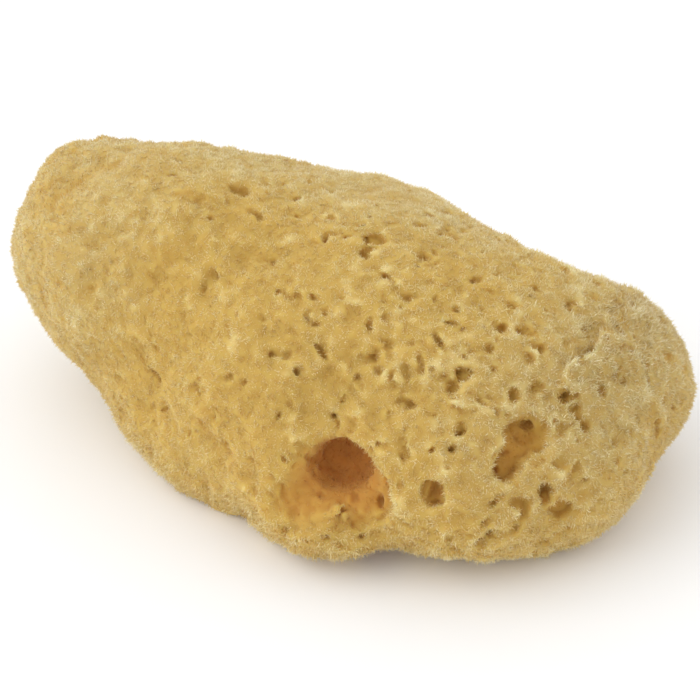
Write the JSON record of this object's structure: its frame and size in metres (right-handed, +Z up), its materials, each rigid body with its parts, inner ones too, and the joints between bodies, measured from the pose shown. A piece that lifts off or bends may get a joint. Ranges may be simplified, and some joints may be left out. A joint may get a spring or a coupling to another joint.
{
  "type": "sea sponge",
  "caption": "Natural sea sponge: a soft, rounded body of fine fibre with a deep hollow and wide canal mouths, lying on the flat cut where it left its rock.",
  "frame": {"origin": "under the middle of the body, on the plane of the flat cut base", "axes": "+X along the body to its blunt end, -Y to the front with the deep hollow, +Z up"},
  "size_m": [0.1512, 0.0906, 0.0599],
  "materials": {
    "spongin": "matte"
  },
  "bodies": {
    "root": {"sponge": "spongin"}
  },
  "joints": []
}
